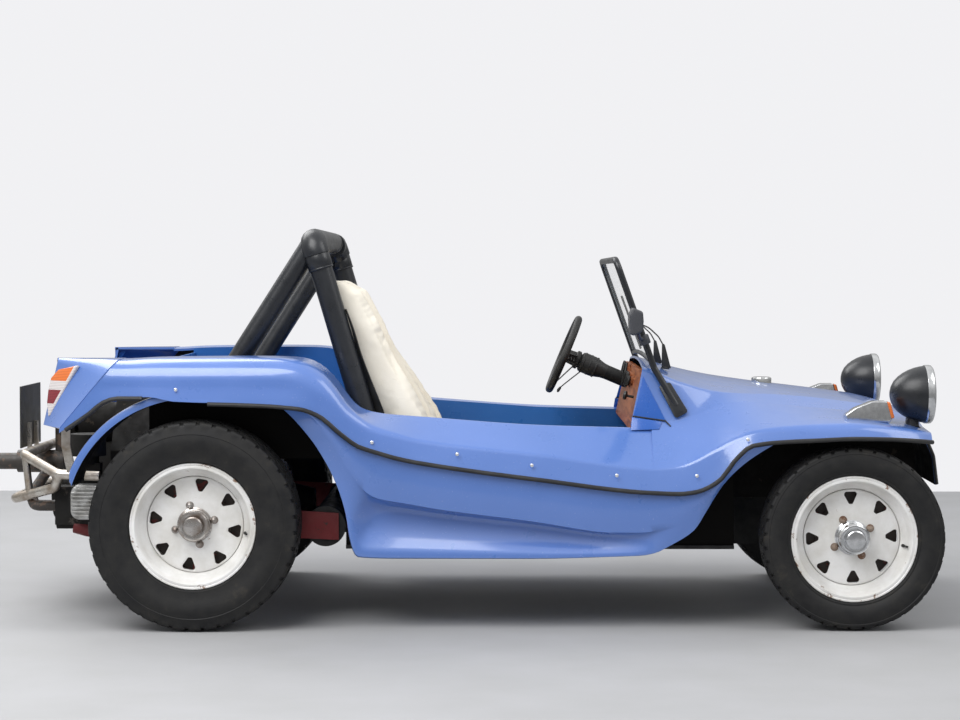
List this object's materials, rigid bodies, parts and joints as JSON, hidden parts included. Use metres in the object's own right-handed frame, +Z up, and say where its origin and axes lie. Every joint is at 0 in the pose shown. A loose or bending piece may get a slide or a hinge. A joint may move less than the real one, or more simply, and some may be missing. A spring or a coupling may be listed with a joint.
{
  "type": "beach buggy",
  "caption": "Open two-seat beach buggy with a moulded body, roll hoop, raked screen, exposed rear engine and road wheels; the front wheels steer with the steering wheel.",
  "frame": {"origin": "on the ground, at the middle of the overall length and width", "axes": "+X forward, +Y to the car's left, +Z up"},
  "size_m": [3.31, 1.595, 1.3249],
  "materials": {
    "body_paint": "glossy moulded glass-fibre gel coat",
    "tub_blue": "moulded glass fibre, satin",
    "chassis_black": "satin black chassis paint",
    "red_paint": "worn red paint",
    "cast_alloy": "dull cast alloy",
    "shroud_black": "satin black sheet metal",
    "pipe_steel": "stainless tube",
    "plate_black": "plain black plate",
    "dash_wood": "varnished red-brown wood",
    "seat_hide": "cream hide",
    "frame_black": "gloss black paint",
    "trim_black": "matt black",
    "mirror_shell": "dark grey plastic",
    "screen": "clear laminated glass",
    "chrome": "bright chrome",
    "lamp_glass": "clear ribbed glass",
    "lamp_red": "red and amber lamp plastic",
    "grip_black": "black grip",
    "forged_steel": "forged steel, painted",
    "wheel_white": "white wheel paint with chips",
    "tyre": "black tyre rubber"
  },
  "bodies": {
    "chassis": {"alternator": "cast_alloy", "body_side_left": "body_paint", "body_side_right": "body_paint", "carburettors": "cast_alloy", "cylinder_banks": "cast_alloy", "dash": "dash_wood", "engine_case": "cast_alloy", "exhaust": "pipe_steel", "fan_shroud": "shroud_black", "floor_pan": "chassis_black", "front_beam": "chassis_black", "front_clip": "body_paint", "front_wells": "shroud_black", "fuel_cap": "chrome", "gearbox": "cast_alloy", "hand_levers": "trim_black", "headlamp_bowls": "frame_black", "headlamp_lenses": "lamp_glass", "headlamp_rims": "chrome", "indicator_bases": "chrome", "nose_panel": "body_paint", "number_plate": "plate_black", "rear_arches": "body_paint", "rear_axles": "red_paint", "rear_bumper": "pipe_steel", "roll_bar": "frame_black", "screen_frame": "frame_black", "screen_glass": "screen", "seats": "seat_hide", "side_mirror": "mirror_shell", "sill_pod_left": "body_paint", "sill_pod_right": "body_paint", "steering_column": "trim_black", "tail_corner_left": "body_paint", "tail_corner_right": "body_paint", "tail_lamps": "lamp_red", "tub_liner": "tub_blue", "tub_sides": "tub_blue", "wipers": "trim_black"},
    "knuckle_left": {"knuckle_left": "forged_steel"},
    "knuckle_right": {"knuckle_right": "forged_steel"},
    "front_wheel_left": {"front_wheel_left": "wheel_white", "front_tyre_left": "tyre"},
    "front_wheel_right": {"front_wheel_right": "wheel_white", "front_tyre_right": "tyre"},
    "rear_wheel_left": {"rear_wheel_left": "wheel_white", "rear_tyre_left": "tyre"},
    "rear_wheel_right": {"rear_wheel_right": "wheel_white", "rear_tyre_right": "tyre"},
    "steering_wheel": {"steering_wheel": "grip_black"}
  },
  "joints": [
    {"name": "steering_turn", "type": "hinge", "parent": "chassis", "child": "steering_wheel", "pos_m": [0.413, 0.35, 0.871], "axis": [-0.9219, 0, 0.3875], "range_deg": [-448, 448]},
    {"name": "knuckle_left_turn", "type": "hinge", "parent": "chassis", "child": "knuckle_left", "pos_m": [1.338, 0.58, 0.302], "axis": [0, 0, 1], "range_deg": [-28, 28]},
    {"name": "front_left_roll", "type": "hinge", "parent": "knuckle_left", "child": "front_wheel_left", "pos_m": [1.338, 0.655, 0.302], "axis": [0, 1, 0], "continuous": true},
    {"name": "rear_left_roll", "type": "hinge", "parent": "chassis", "child": "rear_wheel_left", "pos_m": [-0.827, 0.68, 0.346], "axis": [0, 1, 0], "continuous": true},
    {"name": "knuckle_right_turn", "type": "hinge", "parent": "chassis", "child": "knuckle_right", "pos_m": [1.338, -0.58, 0.302], "axis": [0, 0, 1], "range_deg": [-28, 28]},
    {"name": "front_right_roll", "type": "hinge", "parent": "knuckle_right", "child": "front_wheel_right", "pos_m": [1.338, -0.655, 0.302], "axis": [0, 1, 0], "continuous": true},
    {"name": "rear_right_roll", "type": "hinge", "parent": "chassis", "child": "rear_wheel_right", "pos_m": [-0.827, -0.68, 0.346], "axis": [0, 1, 0], "continuous": true}
  ],
  "couplings": [
    {"joint": "knuckle_left_turn", "follows": "steering_turn", "ratio": 0.0625},
    {"joint": "knuckle_right_turn", "follows": "steering_turn", "ratio": 0.0625}
  ]
}
